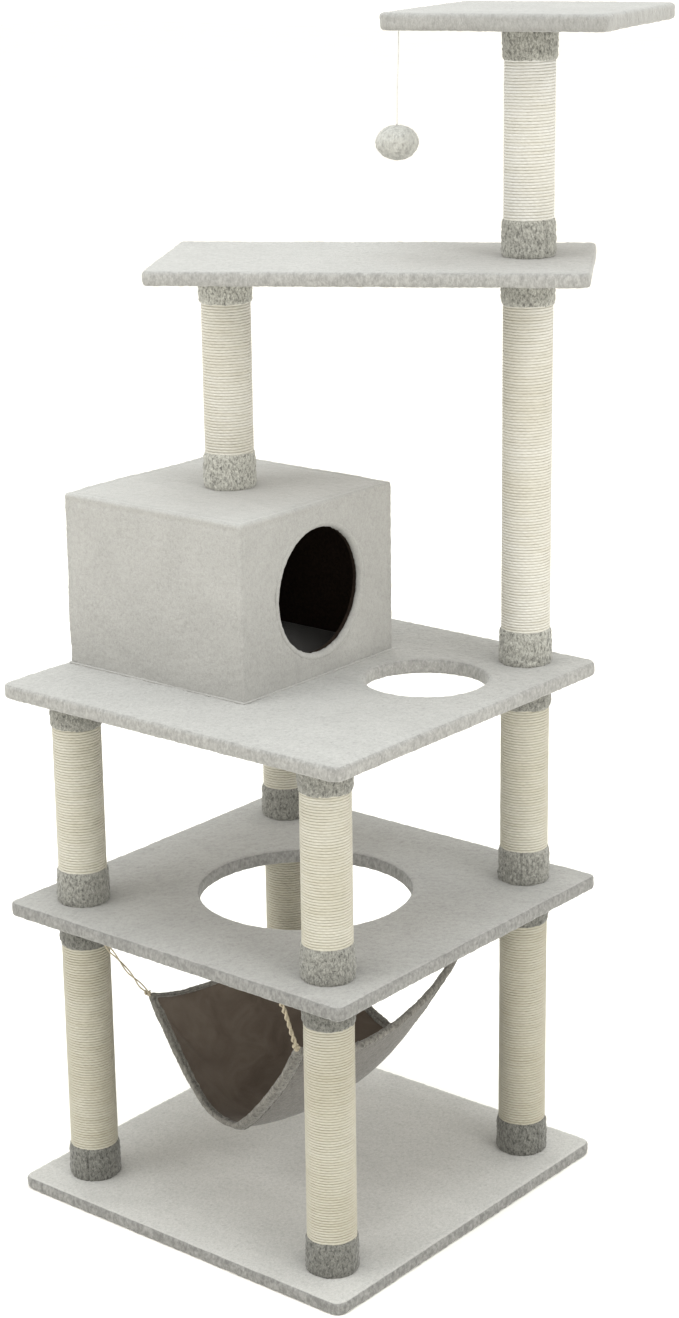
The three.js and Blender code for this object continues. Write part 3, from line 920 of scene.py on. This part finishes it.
# The hem is a strip of the outer plush, folded over the edge: a wide turning outside, and a
# narrower one inside with a row of stitches sunk into it. Each point of its section is a
# distance in from the edge and a height over the middle of the cloth.
HEM_SECTION = [
    (0.0235, -0.0016), (0.0236, -0.0054), (0.0218, -0.0070), (0.0202, -0.0068), (0.0190, -0.0046),
    (0.0176, -0.0068), (0.0140, -0.0074), (0.0090, -0.0072),
    (0.0035, -0.0060), (-0.0010, -0.0044), (-0.0032, -0.0008), (-0.0026, 0.0028), (0.0002, 0.0050),
    (0.0034, 0.0052), (0.0056, 0.0036), (0.0068, 0.0018), (0.0082, 0.0036), (0.0112, 0.0046),
    (0.0138, 0.0040), (0.0150, 0.0014),
]
RAIL_HEM = 0.4
HEM_BLEND = 16


def edge_run(sheet, normal, seed):
    """Points of the hem all the way round: the section is set square to the edge at every step."""
    total = len(rim(sheet))
    fine = 4 * total
    at = np.arange(fine) * total / fine
    finer = []
    for line in (rim(sheet), rim(normal)):
        looped = np.vstack([line, line[:1]])
        finer.append(np.stack([np.interp(at, np.arange(total + 1), axis) for axis in looped.T], axis=1))
    ring, face = finer
    ahead = np.zeros_like(ring)
    for reach in range(1, 13):
        ahead += np.roll(ring, -reach, axis=0) - np.roll(ring, reach, axis=0)
    inward = np.cross(face, ahead)
    inward /= np.linalg.norm(inward, axis=1, keepdims=True)
    front, side = 4 * (columns - 1), 4 * (rows - 1)
    lap = np.full(fine, 1.0)
    lap[front:front + side] = RAIL_HEM
    lap[2 * front + side:] = RAIL_HEM
    window = np.ones(2 * HEM_BLEND + 1) / (2 * HEM_BLEND + 1)
    wrapped = np.concatenate([lap[-HEM_BLEND:], lap, lap[:HEM_BLEND]])
    lap = np.convolve(wrapped, window, mode="valid")[:, None]
    run = []
    for depth, rise in HEM_SECTION:
        run.append(ring + inward * depth * (lap if depth > 0 else 1) + face * rise)
    run = np.stack(run, axis=1)
    flat = run.reshape(-1, 3)
    pile = 0.0010 * lumps(flat, 0.0045, seed) + 0.0006 * lumps(flat, 0.014, seed + 1)
    middle = run.mean(axis=1, keepdims=True)
    out = (run - middle).reshape(-1, 3)
    out /= np.linalg.norm(out, axis=1, keepdims=True)
    return flat + out * pile[:, None], fine


hem_points, hem_rows = edge_run(sheet, normal, 91)
hem_plush = plush_finish("hem_plush", 0.18, (1.0, 0.955, 0.86), 0.55, 0.3, 230)
hem_faces = ring_faces(hem_rows, len(HEM_SECTION))
hem = add_piece("hammock_hem", hem_points, hem_faces, hem_plush, "hammock")

# ------------------------------------------------------------
# Hammock cords. At each corner a thin natural cord is knotted through the hem, runs up doubled
# and loosely twisted to a zinc screw eye under the shelf, and comes back down.
# ------------------------------------------------------------
EYES = {
    "front_left": Vector((-0.196, -0.336, 0.5367)),
    "front_right": Vector((0.217, -0.331, 0.5367)),
    "back_left": Vector((-0.205, 0.334, 0.5367)),
    "back_right": Vector((0.215, 0.333, 0.5367)),
}
CORD_START = 0.007
# The left pair is thin and loosely laid, the right pair thick and close: the radius of one
# strand, the length of one twist, and how far each strand lies from the middle line.
LOOSE = (0.0014, 0.115, 0.0025)
CLOSE = (0.0022, 0.052, 0.0021)
RING_RADIUS = 0.0034
RING_DROP = 0.005
RING_WIRE = 0.0011
KNOT_SIZE = 0.0052
TAIL_SIZE = 0.0038
TAIL_DROP = 0.0045


def joined(parts):
    """Several point and face lists as one."""
    points = []
    faces = []
    for part_points, part_faces in parts:
        faces += [[a + len(points) for a in face] for face in part_faces]
        points += [list(p) for p in part_points]
    return points, faces


def overhand(centre, size, radius, spin):
    """A small pulled knot: a cord that follows a trefoil."""
    t = np.linspace(0, 2 * math.pi, 90, endpoint=False)
    path = np.column_stack([
        np.sin(t) + 2 * np.sin(2 * t), np.cos(t) - 2 * np.cos(2 * t), -1.6 * np.sin(3 * t),
    ]) * size / 3
    turned = path @ np.array(Matrix.Rotation(spin, 3, "X") @ Matrix.Rotation(spin * 1.7, 3, "Y"))
    return tube(turned + np.array(centre), radius, 8, closed=True)


def cord_finish(name, dark, light):
    """Natural fibre cord, twisted, with stray lighter and darker fibres."""
    finish = Finish(name, 0.85)
    fibres = finish.noise(700, 3.0, 0.65)
    patch = finish.noise(60, 2.0)
    tone = finish.ramp(fibres, [(0.3, dark), (0.65, light)])
    shade = finish.ramp(patch, [(0.3, grey(0.8)), (0.7, grey(1.0))])
    finish.color(finish.blended(tone, shade))
    finish.bump(fibres, 0.0006, 0.6)
    return finish.material


def steel_finish():
    """Zinc-plated steel, slightly dull and spangled."""
    finish = Finish("zinc_steel", 0.35, metallic=1.0)
    spangle = finish.noise(240, 2.0)
    finish.color(finish.ramp(spangle, [(0.35, (0.5, 0.51, 0.52)), (0.65, (0.68, 0.69, 0.7))]))
    finish.bump(spangle, 0.0003, 0.2)
    return finish.material


natural_cord = cord_finish("natural_cord", (0.30, 0.25, 0.17), (0.58, 0.52, 0.40))
zinc = steel_finish()
for number, (corner, sewn) in enumerate(CORNERS.items()):
    eye = EYES[corner]
    ring_centre = eye - Vector((0, 0, RING_DROP))
    hook = ring_centre - Vector((0, 0, RING_RADIUS))
    direction = (hook - sewn).normalized()
    start = sewn + direction * CORD_START
    length = (hook - start).length
    side = direction.cross(Vector((0, 0, 1))).normalized()
    other = direction.cross(side)
    strand, pitch, spread = LOOSE if "left" in corner else CLOSE
    along = np.linspace(0, 1, 121)
    turn = 2 * math.pi * length / pitch * along
    open_up = spread * (1 + 0.25 * np.sin(9 * along + number)) * np.minimum(1, 12 * (1 - along) + 0.7)
    wrap = np.cos(turn)[:, None] * np.array(side) + np.sin(turn)[:, None] * np.array(other)
    line = np.array(start) + np.array(hook - start) * along[:, None]
    line += 0.0012 * np.sin(math.pi * along * 2 + number)[:, None] * np.array(other)
    up_strand = line + wrap * open_up[:, None]
    down_strand = line - wrap * open_up[:, None]
    bight = math.pi * np.linspace(0.1, 0.9, 7)[:, None]
    reach = open_up[-1]
    over = np.array(hook) + np.cos(bight) * wrap[-1] * reach + np.sin(bight) * np.array(direction) * reach
    hairpin = np.vstack([up_strand, over, down_strand[::-1]])
    lay = 1 + 0.12 * np.sin(np.arange(len(hairpin)) * 2.1)
    points, faces = tube(hairpin, strand * lay, 8)
    cord = add_piece(f"hammock_tie_{corner}", points, faces, natural_cord, None)
    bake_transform(cord)
    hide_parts(f"hammock_cord_{corner}")
    knot_parts = [
        overhand(start, KNOT_SIZE, strand * 1.1, 0.7 + number),
        overhand(start - direction * TAIL_DROP, TAIL_SIZE, strand, 2.1 + number),
    ]
    knot_points, knot_faces = joined(knot_parts)
    knot = add_piece(f"hammock_knot_{corner}", knot_points, knot_faces, natural_cord, "hammock")
    circle = np.linspace(-math.pi * 1.5, math.pi * 0.46, 40)
    flat = Vector((direction.x, direction.y, 0)).normalized()
    cross = np.array(Vector((0, 0, 1)).cross(flat))
    bent = np.array(ring_centre) + RING_RADIUS * (
        np.cos(circle)[:, None] * cross + np.sin(circle)[:, None] * np.array([0, 0, 1.0])
    )
    shank = np.array([[eye.x, eye.y, eye.z + 0.0002], [eye.x, eye.y, eye.z - 0.003]])
    eye_points, eye_faces = tube(np.vstack([shank, bent]), RING_WIRE, 10)
    screw_eye = add_piece(f"screw_eye_{corner}", eye_points, eye_faces, zinc)

# ------------------------------------------------------------
# Toy. A stuffed plush ball on a thin white string, knotted into the underside of the perch.
# ------------------------------------------------------------
BALL_HANGS_OFF = Vector((-0.0029, -0.0023, 0))
THREAD_RADIUS = 0.00075
KNOT_THREAD = 0.0007
toy_knot_low, toy_knot_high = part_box("toy_knot")
string_low, string_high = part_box("toy_string")
ball_low, ball_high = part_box("toy_ball")
ball_centre = (ball_low + ball_high) / 2 + BALL_HANGS_OFF
ball_half = (ball_high - ball_low) / 2


def stuffed_ball():
    """A ball of loose filling: not quite round, tufted, and drawn in under its knot."""
    ball = bmesh.new()
    bmesh.ops.create_icosphere(ball, subdivisions=6, radius=1.0)
    mesh = bpy.data.meshes.new("toy_ball")
    ball.to_mesh(mesh)
    unit = mesh_points(mesh)[0]
    unit /= np.linalg.norm(unit, axis=1, keepdims=True)
    size = 1 + 0.03 * lumps(unit, 0.7, 120) + 0.022 * lumps(unit, 0.16, 121)
    size += 0.020 * lumps(unit, 0.085, 122)
    top = np.hypot(unit[:, 0], unit[:, 1])
    size -= np.where(unit[:, 2] > 0, 0.05 * np.exp(-(top / 0.16) ** 2), 0)
    shaped = unit * size[:, None] * np.array(ball_half)
    mesh.vertices.foreach_set("co", (shaped + np.array(ball_centre)).ravel())
    mesh.update()
    return mesh


ball_plush = plush_finish("ball_plush", 0.385, (1.0, 0.995, 0.93), 0.3, 0.15, 190)
ball = add_mesh("stuffed_ball", stuffed_ball(), ball_plush, "toy")
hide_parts("toy_ball")
white_string = cord_finish("white_string", (0.5, 0.49, 0.47), (0.66, 0.65, 0.63))
knot_centre = (toy_knot_low + toy_knot_high) / 2
knot_shape = overhand(knot_centre, 0.0017, KNOT_THREAD, 0.9)
toy_knot = add_piece("toy_top_knot", *knot_shape, white_string, "toy_loop")
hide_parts("toy_knot")
string_x = (string_low.x + string_high.x) / 2
string_y = (string_low.y + string_high.y) / 2
drop = np.linspace(0, 1, 61)
string_length = string_high.z - string_low.z + 0.004
hanging = np.column_stack([
    string_x + BALL_HANGS_OFF.x * drop + 0.0004 * np.sin(drop * 7),
    string_y + BALL_HANGS_OFF.y * drop + 0.0003 * np.sin(drop * 9),
    string_high.z - string_length * drop,
])
string = add_piece("toy_thread", *tube(hanging, THREAD_RADIUS, 8), white_string, "toy")
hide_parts("toy_string")
ball_top = Vector((string_x, string_y, string_low.z)) + BALL_HANGS_OFF
ball_knot = add_piece("ball_knot", *overhand(ball_top, 0.0016, KNOT_THREAD, 2.2), white_string, "toy")

# ------------------------------------------------------------
# Studs. Zinc-plated threaded rods join the tower through the platform, bridge and house roof.
# ------------------------------------------------------------
repaint(["platform_stud", "bridge_stud", "roof_stud"], zinc)

# ------------------------------------------------------------
# Floor and light. A pale seamless floor in a white room, lit all round, with one broad soft
# lamp overhead and a smaller one on each side in front.
# ------------------------------------------------------------


def soft_lamp(name, place, aim, size, power, color=(1, 1, 1)):
    lamp = placed(name, bpy.data.lights.new(name, "AREA"))
    lamp.data.shape = "RECTANGLE"
    lamp.data.size = size
    lamp.data.size_y = size
    lamp.data.energy = power
    lamp.data.color = color
    lamp.location = place
    lamp.rotation_euler = (Vector(aim) - Vector(place)).to_track_quat("-Z", "Y").to_euler()


floor_mesh = bpy.data.meshes.new("floor")
floor_mesh.from_pydata([(-30, -30, 0), (30, -30, 0), (30, 30, 0), (-30, 30, 0)], [], [(0, 1, 2, 3)])
floor = placed("floor", floor_mesh)
pale = Finish("pale_floor", 0.9)
pale.color(pale.ramp(pale.noise(3.0), [(0.3, (0.95, 0.93, 0.89)), (0.7, (0.97, 0.95, 0.91))]))
floor_mesh.materials.append(pale.material)
soft_lamp("overhead", (0.3, -0.6, 9.0), (0.1, 0, 1.0), 6.0, 460, (0.84, 0.93, 1.0))
soft_lamp("left", (-3.4, -6.4, 5.8), (0, 0, 1.0), 4.0, 175)
soft_lamp("right", (7.0, -0.8, 5.4), (0, 0, 1.0), 4.0, 175)
room = bpy.data.worlds.new("room")
room.use_nodes = True
room.node_tree.nodes["Background"].inputs["Color"].default_value = (1, 0.98, 0.92, 1)
room.node_tree.nodes["Background"].inputs["Strength"].default_value = 1.2
bpy.context.scene.world = room
bpy.context.scene.view_settings.view_transform = "Standard"
